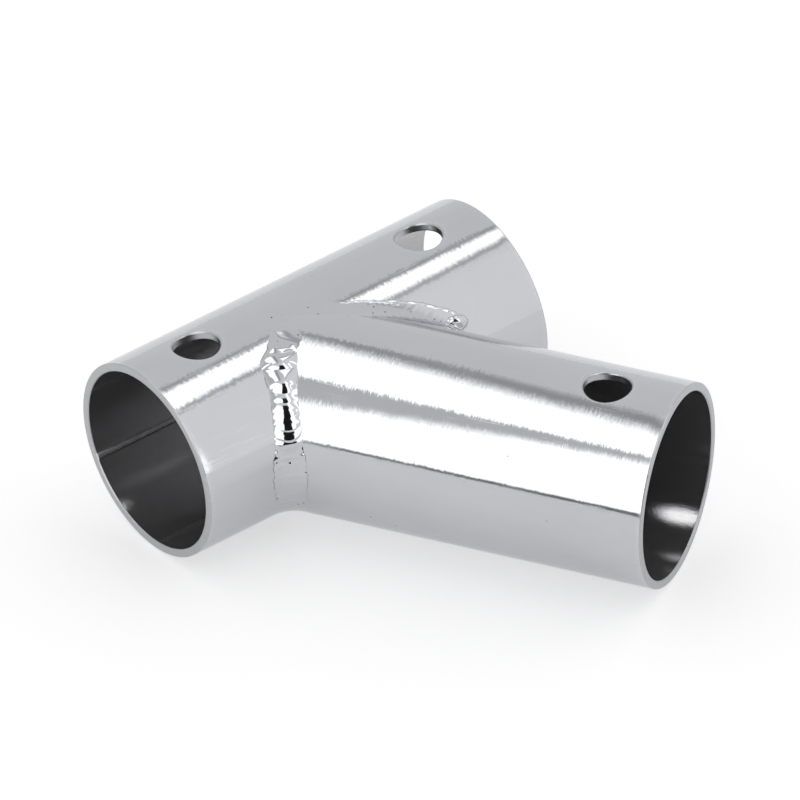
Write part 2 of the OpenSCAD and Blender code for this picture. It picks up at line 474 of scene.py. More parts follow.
def branch_station(reach, turns, radius):
    """Place of a station on each line: on the saddle at 0, and level from SADDLE_CLEAR on."""
    if reach >= SADDLE_CLEAR:
        return level_station(reach, turns, radius)
    start = saddle_reach(turns, radius, tube_r + COPE_GAP)
    return start + (SADDLE_CLEAR - start) * reach / SADDLE_CLEAR


low, high = saddle_reach(np.array([90.0, -90.0]), tube_r, tube_r)
print(f"the saddle runs from reach {low:.1f} to {high:.1f} mm")

# %% [markdown]
# The heat of the weld draws the branch's wall in a little next to the run, so its bore is
# narrower there. That is far inside the mouth, and the piece leaves it out: its bore keeps its size
# up to the saddle, which is cut a hair clear of the run.

# %% Branch tube
branch_stations = station_line([
    0.0,
    SADDLE_CLEAR,
    branch_hole[0] - WINDOW_REACH,
    branch_hole[0] + WINDOW_REACH,
    branch_reach - EDGE_ROUND - RIM_LINE,
    branch_reach - EDGE_ROUND,
])
branch_turns = turn_lines(branch_hole[1], BRANCH_SEAM_TURN, SEAM_HALF_TURN)
saddle_rings = []
for share in np.linspace(0, 1, FACE_STEPS + 1)[1:-1]:
    radius = bore_r + wall * share
    saddle_rings.append((saddle_reach(branch_turns, radius, tube_r + COPE_GAP), radius))
branch_piece = build_tube(
    "branch_wall", BRANCH, branch_turns, branch_stations, saddle_rings, (branch_reach,),
    BRANCH_SEAM_TURN, [branch_hole], branch_station,
)

# %% [markdown]
# The weld bead runs all round the joint. t is the angle round the branch from its top, first over
# the tight corner at 90 and then over the open corner at 270. The bead's two toes lie on the run
# and on the branch, each a leg's length away from the line where the two tubes meet. The bead is
# fused into the tubes, so its toes and back sink a little under their surfaces.

# %% The joint's own frame
TIP_TURN = 16
BACK_SINK = 0.08


def branch_normal(t):
    t = np.radians(t)
    return np.stack([np.sin(t) * lean_sin, np.sin(t) * lean_cos, np.cos(t)], axis=-1)


def joint_reach(t):
    s = np.sin(np.radians(t))
    return tube_r * (s * lean_cos + np.abs(s)) / lean_sin


def joint_point(t, radius):
    share = radius / tube_r
    return share * (tube_r * branch_normal(t) + joint_reach(t)[..., None] * branch_axis)


def run_turn(t):
    return 180 - np.abs(180 - t)


def run_normal(t):
    turn = np.radians(run_turn(t))
    return np.stack([0 * turn, -np.sin(turn), np.cos(turn)], axis=-1)


def leg_heading(t):
    """Direction of the bead's leg over the run: 0 is +X and 180 is -X, swinging at the tips."""
    top = 180 * (1 - ease(-TIP_TURN, TIP_TURN, np.where(t > 180, t - 360, t)))
    under = 180 * ease(180 - TIP_TURN, 180 + TIP_TURN, t)
    near_top = (t < TIP_TURN) | (t > 360 - TIP_TURN)
    return np.where(near_top, top, under)


def run_toe(t, leg, sink):
    heading = np.radians(leg_heading(t))
    side = np.degrees(leg * np.sin(heading) / tube_r)
    turn = run_turn(t) + np.where(run_turn(t) < 90, -side, side)
    x = joint_point(t, tube_r)[..., 0] + leg * np.cos(heading)
    return on_tube(RUN, x, turn, polished_radius(x, turn, run_ends) - sink)


def branch_toe(t, leg, sink):
    reach = joint_reach(t) + leg
    radius = polished_radius(reach, -t, (branch_reach,)) - sink
    return radius[..., None] * branch_normal(t) + reach[..., None] * branch_axis


print("the joint's top tip is at", joint_point(np.array([0.0]), tube_r)[0].round(2))

# %% [markdown]
# Rings cross the bead every sixteenth of a millimetre where it is left as welded, and further
# apart where it is dressed. Places along it are arcs from the top tip: above 0 down the open
# corner, and below 0 down the tight one.

# %% Rings along the bead
FINE_END = 26.0
FINE_RING, COARSE_RING = 0.065, 0.16
DENSE_STEPS = 7200

dense = np.linspace(0, 360, DENSE_STEPS + 1)
steps = np.linalg.norm(np.diff(joint_point(dense, tube_r), axis=0), axis=1)
arc_at = np.concatenate([[0], np.cumsum(steps)])
joint_length = arc_at[-1]
ring_arc = np.concatenate([
    station_line([0.0, joint_length - FINE_END], COARSE_RING)[:-1],
    station_line([joint_length - FINE_END, joint_length], FINE_RING)[:-1],
])
ring_t = np.interp(ring_arc, arc_at, dense)
arc = np.where(ring_t < 180, -ring_arc, joint_length - ring_arc)
print(f"joint curve {joint_length:.1f} mm long, {len(ring_t)} rings")

# %% [markdown]
# How wide and how high the bead is changes along it, and these lists say so, as read off the
# photograph: a dressed end at the top, a fat start to the welded stretch, its narrower ripples,
# and the low dressed stretch under it. The tight corner was dressed all the way to where the bead
# stops in a round lump.

# %% Width and height of the bead
OPEN_SIDE = (
    # arc, leg on the run, leg on the branch, crown
    (0.0, 0.8, 1.5, 0.0),
    (2.0, 0.6, 3.4, 0.05),
    (3.6, 0.8, 4.0, 0.12),
    (4.8, 1.3, 3.4, 0.25),
    (6.0, 2.0, 2.9, 0.55),
    (7.0, 2.9, 2.6, 0.75),
    (8.4, 3.1, 2.5, 0.8),
    (9.6, 2.7, 2.35, 0.85),
    (11.0, 2.5, 2.1, 0.85),
    (13.0, 2.4, 1.95, 0.85),
    (19.4, 2.45, 1.95, 0.85),
    (20.5, 2.6, 2.05, 0.4),
    (22.0, 2.9, 2.3, 0.15),
    (24.0, 3.0, 2.4, 0.12),
    (28.0, 2.6, 2.3, 0.08),
    (34.0, 2.0, 2.0, 0.05),
    (50.0, 1.6, 1.8, 0.05),
    (57.5, 0.8, 1.2, 0.1),
)
TIGHT_SIDE = (
    # t, leg on the run, leg on the branch, crown
    (0, 0.8, 1.5, 0.04),
    (10, 2.2, 3.0, 0.04),
    (20, 3.7, 3.8, 0.04),
    (35, 4.7, 4.0, 0.04),
    (45, 4.6, 4.0, 0.04),
    (55, 4.5, 4.0, 0.04),
    (60, 2.8, 3.8, 0.04),
    (75, 2.2, 3.6, 0.04),
    (120, 2.2, 3.2, 0.04),
    (165, 1.4, 2.0, 0.04),
    (180, 0.8, 1.2, 0.04),
)
SMOOTH_RINGS = 13
WELDED_CROWN = (0.3, 0.8)


def along_bead(column):
    """A value on every ring, from the two lists, with the lists' corners smoothed."""
    on_open = np.interp(arc, [row[0] for row in OPEN_SIDE], [row[column] for row in OPEN_SIDE])
    on_tight = np.interp(ring_t, [row[0] for row in TIGHT_SIDE], [row[column] for row in TIGHT_SIDE])
    value = np.where(ring_t < 180, on_tight, on_open)
    around = np.concatenate([value[-SMOOTH_RINGS:], value, value[:SMOOTH_RINGS]])
    smooth = np.convolve(around, np.ones(SMOOTH_RINGS) / SMOOTH_RINGS, "same")
    return smooth[SMOOTH_RINGS:-SMOOTH_RINGS]


run_leg, branch_leg, crown = along_bead(1), along_bead(2), along_bead(3)
welded = ease(*WELDED_CROWN, crown)
print(f"legs up to {run_leg.max():.1f} mm on the run and {branch_leg.max():.1f} mm on the branch")

# %% [markdown]
# The welder worked upwards at the open corner. Each time the filler was dipped, the pool froze in
# a crescent that laps over the one below, like scales: a few large ones near the top and fine ones
# under them. A scale rises slowly to a round shoulder and drops at its lower edge. Its edge runs
# up again towards both toes, because the middle of the pool froze last.

# %% Scales of the bead
SCALES = (
    # arc of the lower edge, height, share of the length that drops
    (7.1, 0.22, 0.5),
    (9.6, 0.3, 0.45),
    (12.8, 0.3, 0.4),
    (14.0, 0.03, 0.3),
    (15.9, 0.075, 0.2),
    (17.7, 0.075, 0.2),
    (19.0, 0.065, 0.25),
    (20.3, 0.06, 0.3),
)
SCALE_START = 4.9
BOW = 1.1
RIPPLE_PITCH, RIPPLE = 0.75, 0.0008
scale_edges = np.array([SCALE_START] + [row[0] for row in SCALES])
scale_heights = np.array([row[1] for row in SCALES])
scale_drops = np.array([row[2] for row in SCALES])


def scale_rise(place):
    """Height of the frozen scales at a place along the bead."""
    k = np.clip(np.searchsorted(scale_edges, place) - 1, 0, len(SCALES) - 1)
    q = np.clip((place - scale_edges[k]) / np.diff(scale_edges)[k], 0, 1)
    shoulder = 1 - scale_drops[k]
    climb = np.sin(math.pi / 2 * np.minimum(q / shoulder, 1))
    drop = np.cos(math.pi / 2 * np.clip((q - shoulder) / scale_drops[k], 0, 1))
    inside = (place > scale_edges[0]) & (place < scale_edges[-1])
    fine = RIPPLE * np.sin(2 * math.pi * place / RIPPLE_PITCH)
    return np.where(inside, scale_heights[k] * np.where(q < shoulder, climb, drop) + fine, 0)


print(f"{len(SCALES)} scales, {np.diff(scale_edges).round(1)} mm long")

# %% [markdown]
# Single lumps stand on the bead where filler was added or the torch was lifted: one on its dressed
# top end, and a round one where it stops at the tight corner. A lump is a low cap on the bead's
# face, given by its arc, how far it is from the joint line and its size.

# %% Lumps and toes of the bead
STOP_T = 54
LUMPS = (
    # arc, distance towards the branch, radius, height, sharpness of its edge
    (3.1, 2.3, 1.9, 0.14, 1.6),
    (1.3, 3.4, 0.8, 0.05, 1.6),
    (-float(np.interp(STOP_T, dense, arc_at)), -1.9, 1.6, 1.15, 0.5),
    (21.7, -0.3, 0.45, -0.09, 1.3),
    (22.9, 0.5, 0.25, -0.05, 1.3),
    (24.0, 0.7, 0.25, -0.05, 1.3),
)
RIDGE_PLACE, RIDGE_WIDTH, RIDGE_HEIGHT, RIDGE_PITCH = 0.45, 0.3, 0.15, 1.7
RIDGE_ENDS = ((-24.0, -22.0), (-9.0, -6.0))
RIDGE_BUMPS, RIDGE_BEAT = 0.4, 1.3
TOE_WAVE = 0.13
TOE_BEATS = (2.9, 1.1, 6.3)
WELDED_CALM = 0.75
SCALLOP = 0.8
BRANCH_WAVE, BRANCH_SCALLOP = 0.6, 0.7


def lump_rise(across):
    rise = 0 * across
    for place, side, radius, height, sharpness in LUMPS:
        near = 1 - ((arc - place) ** 2 + (across - side) ** 2) / radius ** 2
        rise = rise + height * np.clip(near, 0, 1) ** sharpness
    return rise


ridge_reach = ease(*RIDGE_ENDS[0], arc) * (1 - ease(*RIDGE_ENDS[1], arc))


def ridge_rise(across):
    """The bumpy line that is left along the run's toe at the tight corner."""
    line = np.exp(-((across + run_leg - RIDGE_PLACE) / RIDGE_WIDTH) ** 2)
    beat = np.sin(2 * math.pi * arc / RIDGE_PITCH) * np.sin(RIDGE_BEAT * arc)
    return RIDGE_HEIGHT * line * (1 - RIDGE_BUMPS + RIDGE_BUMPS * beat) * ridge_reach


first, second, third = TOE_BEATS
toe_wave = np.sin(first * arc) * np.sin(second * arc + 1) + 0.5 * np.sin(third * arc)
toe_wave = TOE_WAVE * toe_wave * ease(0, 4, np.abs(arc)) * (1 - WELDED_CALM * welded)
scallop = SCALLOP * (scale_rise(arc + BOW) - scale_heights.mean() / 2) * welded
run_leg = run_leg + toe_wave + scallop
branch_leg = branch_leg + BRANCH_WAVE * toe_wave + BRANCH_SCALLOP * scallop
print(f"{len(LUMPS)} lumps and hollows, toes that waver by {np.abs(toe_wave + scallop).max():.2f} mm")

# %% [markdown]
# Across the bead, its section starts as a hollow fillet that leaves both tubes along their
# surfaces, as a belt leaves it. A crown is laid on top of that where it is left as welded, then
# the scales, the lumps and the ridge.

# %% Face of the weld bead
FACE_COLUMNS = 60
HANDLE = 0.58
SKEW = 0.35
SKIRT, SKIRT_RUN = 0.06, 0.4
SCALE_FULLNESS = 0.7
RISE_RUN = 0.3
SLOPE_STEP = 0.1
FLUSH = 0.07
BLENDED_SINK, WELDED_SINK = 0.003, 0.03


def unit(vectors):
    return vectors / np.linalg.norm(vectors, axis=1, keepdims=True)


toe_sink = BLENDED_SINK + (WELDED_SINK - BLENDED_SINK) * welded
from_toe = run_toe(ring_t, run_leg, toe_sink)
to_toe = branch_toe(ring_t, branch_leg, toe_sink)
run_slope = unit(run_toe(ring_t, run_leg * (1 - SLOPE_STEP), toe_sink) - from_toe)
branch_slope = unit(branch_toe(ring_t, branch_leg * (1 - SLOPE_STEP), toe_sink) - to_toe)
run_handle = from_toe + run_slope * (HANDLE * run_leg)[:, None]
branch_handle = to_toe + branch_slope * (HANDLE * branch_leg)[:, None]
out = unit(run_normal(ring_t) + branch_normal(ring_t))
middle = run_leg / (run_leg + branch_leg)

columns, toe_distance, face_across = [], [], []
for v in np.linspace(0, 1, FACE_COLUMNS + 1):
    w = 1 - v
    face = w ** 3 * from_toe + 3 * v * w * w * run_handle + 3 * v * v * w * branch_handle + v ** 3 * to_toe
    u = (v - middle) / np.where(v < middle, middle, 1 - middle)
    hump = (1 - u * u) * (1 - SKEW * u)
    across = np.where(v < middle, -run_leg * (1 - v / middle), branch_leg * (v - middle) / (1 - middle))
    edge = np.minimum(run_leg + across, branch_leg - across)
    place = arc + BOW * u * u
    shape = (1 - u * u) ** SCALE_FULLNESS + SKIRT * ease(0, SKIRT_RUN, edge)
    lumps = (lump_rise(across) + ridge_rise(across)) * ease(0, RISE_RUN, edge)
    rise = crown * hump + scale_rise(place) * welded * shape + lumps
    face = face + rise[:, None] * out
    face[:, 2] = np.maximum(face[:, 2], -tube_r - FLUSH)
    columns.append(face)
    toe_distance.append(edge)
    face_across.append(across)
print(f"{len(columns)} columns over the bead's face")

# %% [markdown]
# The back of each ring runs under the surfaces of both tubes and closes it. The marks say where
# each point is along and across the bead, and where the toe line is darkened with painted shade.

# %% Close the weld bead
BACK_STEPS = 4
# stretches of the bead where the toe line is darkened with painted shade
RESIDUE_ENDS = ((19.2, 20.5), (25.0, 30.0))
TIGHT_RESIDUE = 0.6

back = BACK_SINK + 0 * ring_t
for share in np.linspace(1, 0, BACK_STEPS + 1)[1:-1]:
    columns.append(branch_toe(ring_t, branch_leg * share, back))
columns.append(joint_point(ring_t, tube_r - BACK_SINK))
for share in np.linspace(0, 1, BACK_STEPS + 1)[1:-1]:
    columns.append(run_toe(ring_t, run_leg * share, back))

# where along the bead the toe line gets painted shade
residue = ease(*RESIDUE_ENDS[0], arc) * (1 - ease(*RESIDUE_ENDS[1], arc)) + TIGHT_RESIDUE * ridge_reach
grid = np.stack(columns, axis=1)
rings, around = grid.shape[:2]
bead_faces = []
for j in range(rings):
    n = (j + 1) % rings
    for i in range(around):
        s = (i + 1) % around
        bead_faces.append((j * around + i, n * around + i, n * around + s, j * around + s))
behind = [0 * arc] * (around - len(toe_distance))
bead_marks = {
    "arc": np.repeat(arc, around),
    "across": np.stack(face_across + behind, axis=1).ravel(),
    "toe": np.stack(toe_distance + behind, axis=1).ravel(),
    "welded": np.repeat(welded, around),
    "residue": np.repeat(residue, around),
}
bead_points = grid.reshape(-1, 3)
bead_piece = make_piece("weld_metal_bead", bead_points, bead_faces, [0] * len(bead_faces), bead_marks)

# %% [markdown]
# Smooth shading would smear the light over the toes, where the face meets the hidden back. Those
# two lines of edges are marked sharp.

# %% Sharp toes
edge_ends = np.zeros(len(bead_piece.data.edges) * 2, dtype=np.int32)
bead_piece.data.edges.foreach_get("vertices", edge_ends)
place_in_ring = edge_ends.reshape(-1, 2) % around
on_toe = np.all(place_in_ring == 0, axis=1) | np.all(place_in_ring == FACE_COLUMNS, axis=1)
sharp = bead_piece.data.attributes.new("sharp_edge", "BOOLEAN", "EDGE")
sharp.data.foreach_set("value", on_toe)
print(f"{int(on_toe.sum())} sharp edges")

# %% [markdown]
# Materials come next. A small function turns the sRGB hex value that one reads off a picture into
# the linear colour that Blender calculates with, and another adds one node with its settings and
# links.

# %% Colour and node helpers
def linear(hex_colour):
    parts = [int(hex_colour[i:i + 2], 16) / 255 for i in (1, 3, 5)]
    return [p / 12.92 if p <= 0.04045 else ((p + 0.055) / 1.055) ** 2.4 for p in parts] + [1.0]


def add_node(tree, kind, operation=None, *values, **named):
    """Adds a node. Its operation and first inputs may be given in order. A name in small letters is
    one of its own settings. Any other name is an input, with _6 for the seventh, and From and To
    are pairs for Min and Max. An input takes a value, or a node or socket to link."""
    node = tree.nodes.new("ShaderNode" + kind)
    if operation:
        node.operation = operation
    inputs = dict(enumerate(values))
    for key, value in named.items():
        if key[0].islower():
            setattr(node, key, value)
        elif key in ("From", "To"):
            inputs[key + " Min"], inputs[key + " Max"] = value
        else:
            inputs[int(key[1:]) if key[0] == "_" else key.replace("_", " ")] = value
    for key, value in inputs.items():
        if isinstance(value, bpy.types.Node):
            value = value.outputs[0]
        if isinstance(value, bpy.types.NodeSocket):
            tree.links.new(value, node.inputs[key])
        else:
            node.inputs[key].default_value = value
    return node


def new_material(name):
    """An empty material, and the function that adds a node to it."""
    material = bpy.data.materials.new(name)
    material.use_nodes = True
    material.node_tree.nodes.clear()
    return material, partial(add_node, material.node_tree)


print("a mid grey is", [round(part, 3) for part in linear("#808080")])

# %% [markdown]
# The patterns below are all laid out along a tube, so the object's coordinates are first turned
# until the tube's axis lies along X. A grain is then a noise stretched to a length along the tube
# and a width across it, both in millimetres. Real polish lines, belt marks and pickled grain are
# finer than a pixel of the render, which is about 0.1 mm, so they are drawn as coarse as they need
# to be to show.

# %% Places and grains on a tube
def along_tube(add, tube):
    place = add("TexCoord").outputs["Object"]
    turn = math.atan2(-tube["axis"][1], tube["axis"][0])
    return add("VectorRotate", rotation_type="Z_AXIS", Vector=place, Angle=turn)


GRAIN_ROUGHNESS = 0.6


def grain(add, place, size, detail=2.0, start=0.0):
    """Noise with grains of a size in mm along X, Y and Z. start picks another part of the noise."""
    scale = tuple(1 / (length * MM) for length in size)
    mapped = add("Mapping", Vector=place, Scale=scale, Location=(start, start, start))
    return add("TexNoise", Vector=mapped, Scale=1.0, Detail=detail, Roughness=GRAIN_ROUGHNESS)


# %% [markdown]
# Polished stainless steel covers the outside of both tubes. It is ground with ever finer belts
# that run round the tube, then buffed. The mirror that is left still carries hairlines across the
# tube, an eighth of a millimetre apart and a millimetre long, which fray the edge of every
# reflection. So a fine grain tilts the normal, round the tube and along it: most hairs hardly tilt
# it, and a few, where the grain is far from its middle, tilt it by a degree.

# %% Hairlines
HAIR_SIZE = (0.12, 0.9, 0.9)
FINE_TILT = 0.1
STROKE_TILT = 0.8
AXIAL_SHARE = 0.5
GRAIN_MIDDLE = 0.5
PATCH_SIZE = (9.0, 5.0, 5.0)
# most of a grain's values lie in this range
SPREAD = (0.35, 0.65)
PATCH_STRENGTH = (0.5, 1.5)
TOP_FACING = (0.3, 0.8)
SIDE_STRENGTH = 0.35


def hair_tilt(add, place, start, share):
    """Tilt from the grain's distance to its middle, plus that distance cubed."""
    hairs = grain(add, place, HAIR_SIZE, start=start)
    off_middle = add("Math", "SUBTRACT", hairs, GRAIN_MIDDLE)
    square = add("Math", "MULTIPLY", off_middle, off_middle)
    size = add("Math", "MULTIPLY_ADD", square, STROKE_TILT * share, FINE_TILT * share)
    return add("Math", "MULTIPLY", off_middle, size)


def hairline_normal(add, tube, place):
    """The surface's normal, tilted by the hairlines, most in some patches and on the top."""
    normal = add("NewGeometry").outputs["Normal"]
    upward = add("SeparateXYZ", Vector=normal).outputs["Z"]
    level = add("MapRange", Value=upward, From=TOP_FACING, To_Min=SIDE_STRENGTH)
    patches = grain(add, place, PATCH_SIZE, start=7.0)
    patchy = add("MapRange", Value=patches, From=SPREAD, To=PATCH_STRENGTH)
    strength = add("Math", "MULTIPLY", level, patchy)
    axis = tuple(tube["axis"])
    across = add("VectorMath", "CROSS_PRODUCT", normal, axis)
    round_tilt = add("VectorMath", "SCALE", across, Scale=hair_tilt(add, place, 0.0, 1.0))
    axial_tilt = add("VectorMath", "SCALE", axis, Scale=hair_tilt(add, place, 3.0, AXIAL_SHARE))
    tilt = add("VectorMath", "ADD", round_tilt, axial_tilt)
    scaled = add("VectorMath", "SCALE", tilt, Scale=strength)
    tilted = add("VectorMath", "ADD", normal, scaled)
    return add("VectorMath", "NORMALIZE", tilted)


# %% [markdown]
# Use leaves its own marks on the mirror: pits of a third of a millimetre, a few millimetres
# apart, fine scratches along the tube from sliding over a rail, and edges rubbed a little lighter
# and duller at the ends and round the holes.

# %% Pits, scratches and worn edges
PIT_CELL = 3.2
# in cells, from its edge to its full depth
PIT_RADIUS = (0.05, 0.02)
# a cell whose random tint is above this keeps its pit
PIT_CHOICE = 0.62
SCRATCH_SIZE = (9.0, 0.13, 0.13)
SCRATCH_LEVEL = (0.66, 0.72)
WEAR_REACH = 0.9
WEAR_GRAIN = (0.35, 0.35, 0.35)
WEAR_BREAK = (0.4, 0.62)


def pits(add, place):
    """1 in a few small round pits and 0 elsewhere."""
    cells = add("Mapping", Vector=place, Scale=(1 / (PIT_CELL * MM),) * 3)
    points = add("TexVoronoi", Vector=cells, Scale=1.0)
    hollow = add("MapRange", Value=points.outputs["Distance"], From=PIT_RADIUS)
    tint = add("SeparateColor", Color=points.outputs["Color"])
    chosen = add("Math", "GREATER_THAN", tint, PIT_CHOICE)
    return add("Math", "MULTIPLY", hollow, chosen)


def scratches(add, place):
    """Up to 1 along a few thin scratches."""
    lines = grain(add, place, SCRATCH_SIZE, detail=1.0, start=11.0)
    return add("MapRange", Value=lines, From=SCRATCH_LEVEL)


def edge_wear(add, place):
    """Up to 1 at a sawn end or a hole, breaking up to 0 within a millimetre."""
    distance = add("Attribute", attribute_name="from_edge").outputs["Fac"]
    near = add("MapRange", Value=distance, From=(WEAR_REACH, 0.0))
    rubbed = grain(add, place, WEAR_GRAIN, detail=3.0, start=5.0)
    patchy = add("MapRange", Value=rubbed, From=WEAR_BREAK)
    return add("Math", "MULTIPLY", near, patchy)


# %% [markdown]
# The polished finish puts these together. The colour is a neutral steel grey that drifts by a
# percent or two, as the buffing did, and painted shade darkens the pits. Dull places come from
# roughness, and hollows from bump.

# %% Polished stainless steel
# the third colour is painted shade, laid in the pits
STEEL_LIGHT, STEEL_DARK, PIT_HEX, WORN_HEX = "#CFD0D3", "#C5C6C9", "#85868A", "#D6D7D9"
DRIFT_SIZE = (14.0, 6.0, 6.0)
POLISH_ROUGHNESS = (0.055, 0.09)
SCRATCH_ROUGHNESS, WORN_ROUGHNESS = 0.06, 0.12
HOLLOW_DEPTH = 0.012
SCRATCH_SHARE, PIT_SHARE = 0.12, 0.4


def polished_steel(name, tube):
    material, add = new_material(name)
    place = along_tube(add, tube)
    hollows = pits(add, place)
    lines = scratches(add, place)
    wear = edge_wear(add, place)
    drift = grain(add, place, DRIFT_SIZE, detail=3.0, start=2.0)
    steel = add("Mix", data_type="RGBA", _0=drift, _6=linear(STEEL_DARK),
                _7=linear(STEEL_LIGHT)).outputs[2]
    worn = add("Mix", data_type="RGBA", _0=wear, _6=steel, _7=linear(WORN_HEX)).outputs[2]
    # painted shade: the pits are darkened
    colour = add("Mix", data_type="RGBA", _0=hollows, _6=worn, _7=linear(PIT_HEX)).outputs[2]
    smear = add("MapRange", Value=drift, From=SPREAD, To=POLISH_ROUGHNESS)
    scratched = add("Math", "MULTIPLY_ADD", lines, SCRATCH_ROUGHNESS, smear)
    roughness = add("Math", "MULTIPLY_ADD", wear, WORN_ROUGHNESS, scratched)
    cut = add("Math", "MULTIPLY_ADD", lines, -SCRATCH_SHARE, 1.0)
    height = add("Math", "MULTIPLY_ADD", hollows, -PIT_SHARE, cut)
    normal = add("Bump", Height=height, Distance=HOLLOW_DEPTH * MM, Strength=1.0,
                 Normal=hairline_normal(add, tube, place))
    shader = add("BsdfPrincipled", Base_Color=colour, Metallic=1.0, Roughness=roughness, Normal=normal)
    add("OutputMaterial", Surface=shader)
    return material


run_finish = polished_steel("polished_stainless_steel_run", RUN)
branch_finish = polished_steel("polished_stainless_steel_branch", BRANCH)
print("made", run_finish.name, "and", branch_finish.name)

# %% [markdown]
# The ends were sawn square and linished on a flat belt, so they are dull grey with fine straight
# marks that all run one way, drawn 0.15 mm apart. The same finish lines the drilled holes.

# %% Sawn and linished stainless steel
SAWN_LIGHT, SAWN_DARK = "#C6C7C9", "#AFB0B2"
BELT_MARK = (3.0, 3.0, 0.15)
WIDE_SPREAD = (0.3, 0.7)
SAWN_ROUGHNESS = (0.24, 0.4)
BELT_DEPTH = 0.006


def sawn_steel(name):
    material, add = new_material(name)
    place = add("TexCoord").outputs["Object"]
    marks = grain(add, place, BELT_MARK, detail=3.0)
    colour = add("Mix", data_type="RGBA", _0=marks, _6=linear(SAWN_DARK),
                 _7=linear(SAWN_LIGHT)).outputs[2]
    roughness = add("MapRange", Value=marks, From=WIDE_SPREAD, To=SAWN_ROUGHNESS)
    normal = add("Bump", Height=marks, Distance=BELT_DEPTH * MM, Strength=1.0)
    shader = add("BsdfPrincipled", Base_Color=colour, Metallic=1.0, Roughness=roughness, Normal=normal)
    add("OutputMaterial", Surface=shader)
    return material


end_finish = sawn_steel("sawn_stainless_steel")
print("made", end_finish.name)

# %% [markdown]
# The bores still have the mill's drawn and pickled skin. It is satin and grainy: light that comes
# in at a screw hole is mirrored on the wall below it as a patch with a grainy edge. The grains are
# drawn 0.2 mm wide. The planed crest of the seam is duller, which makes it the paler line.

# %% Drawn and pickled stainless steel
BORE_LIGHT, BORE_DARK = "#C9C8C9", "#B4B3B4"
BORE_GRAIN = (0.24, 0.2, 0.2)
BORE_STREAK = (18.0, 0.5, 0.5)
STREAK_SHARE = 0.25
BORE_SPREAD = (0.4, 0.85)
BORE_ROUGHNESS = (0.02, 0.1)
BORE_METAL = 0.87
CREST_ROUGHNESS = 0.3
GRAIN_DEPTH = 0.009


def drawn_steel(name, tube):
    material, add = new_material(name)
    place = along_tube(add, tube)
    grains = grain(add, place, BORE_GRAIN, detail=3.0)
    streaks = grain(add, place, BORE_STREAK, start=4.0)
    crest = add("Attribute", attribute_name="seam").outputs["Fac"]
    both = add("Math", "MULTIPLY_ADD", streaks, STREAK_SHARE, grains)
    share = add("MapRange", Value=both, From=BORE_SPREAD)
    colour = add("Mix", data_type="RGBA", _0=share, _6=linear(BORE_DARK),
                 _7=linear(BORE_LIGHT)).outputs[2]
    satin = add("MapRange", Value=grains, From=WIDE_SPREAD, To=BORE_ROUGHNESS)
    roughness = add("Math", "MULTIPLY_ADD", crest, CREST_ROUGHNESS, satin)
    normal = add("Bump", Height=grains, Distance=GRAIN_DEPTH * MM, Strength=1.0)
    shader = add("BsdfPrincipled", Base_Color=colour, Metallic=BORE_METAL, Roughness=roughness,
                 Normal=normal)
    add("OutputMaterial", Surface=shader)
    return material


run_bore_finish = drawn_steel("drawn_stainless_steel_run", RUN)
branch_bore_finish = drawn_steel("drawn_stainless_steel_branch", BRANCH)
print("made", run_bore_finish.name, "and", branch_bore_finish.name)

# %% [markdown]
# Weld metal freezes bright and smooth, so the scales are sharp little mirrors. Where the bead was
# dressed, fine belt marks run along it, with a few pinholes. The pinholes and, in patches, the line
# of the toe are drawn dark grey, which is painted shade in these hollows and in the toe's crease.
# The bead's marks say where it is left as welded and how far each place is from the toe.

# %% Bright stainless weld metal
# the third colour is painted shade, laid in the crease of the toe and in the pinholes
WELD_LIGHT, WELD_DARK, TOE_HEX = "#CFD0D3", "#C5C6C9", "#5E5F62"
DRESSING_MARK = (2.2, 0.16, 1.0)
PINHOLE_CELL = 1.6
PINHOLE_RADIUS = (0.1, 0.06)
TOE_LINE = (0.2, 0.02)
# the painted shade in the toe line is broken into patches of this grain
COMPOUND_GRAIN = (1.1, 1.1, 1.1)
COMPOUND_BREAK = (0.3, 0.46)
COMPOUND_ROUGHNESS = 0.2
WELD_ROUGHNESS = 0.08
DRESSED_ROUGHNESS = 0.13
DRESSING_DEPTH = 0.0025


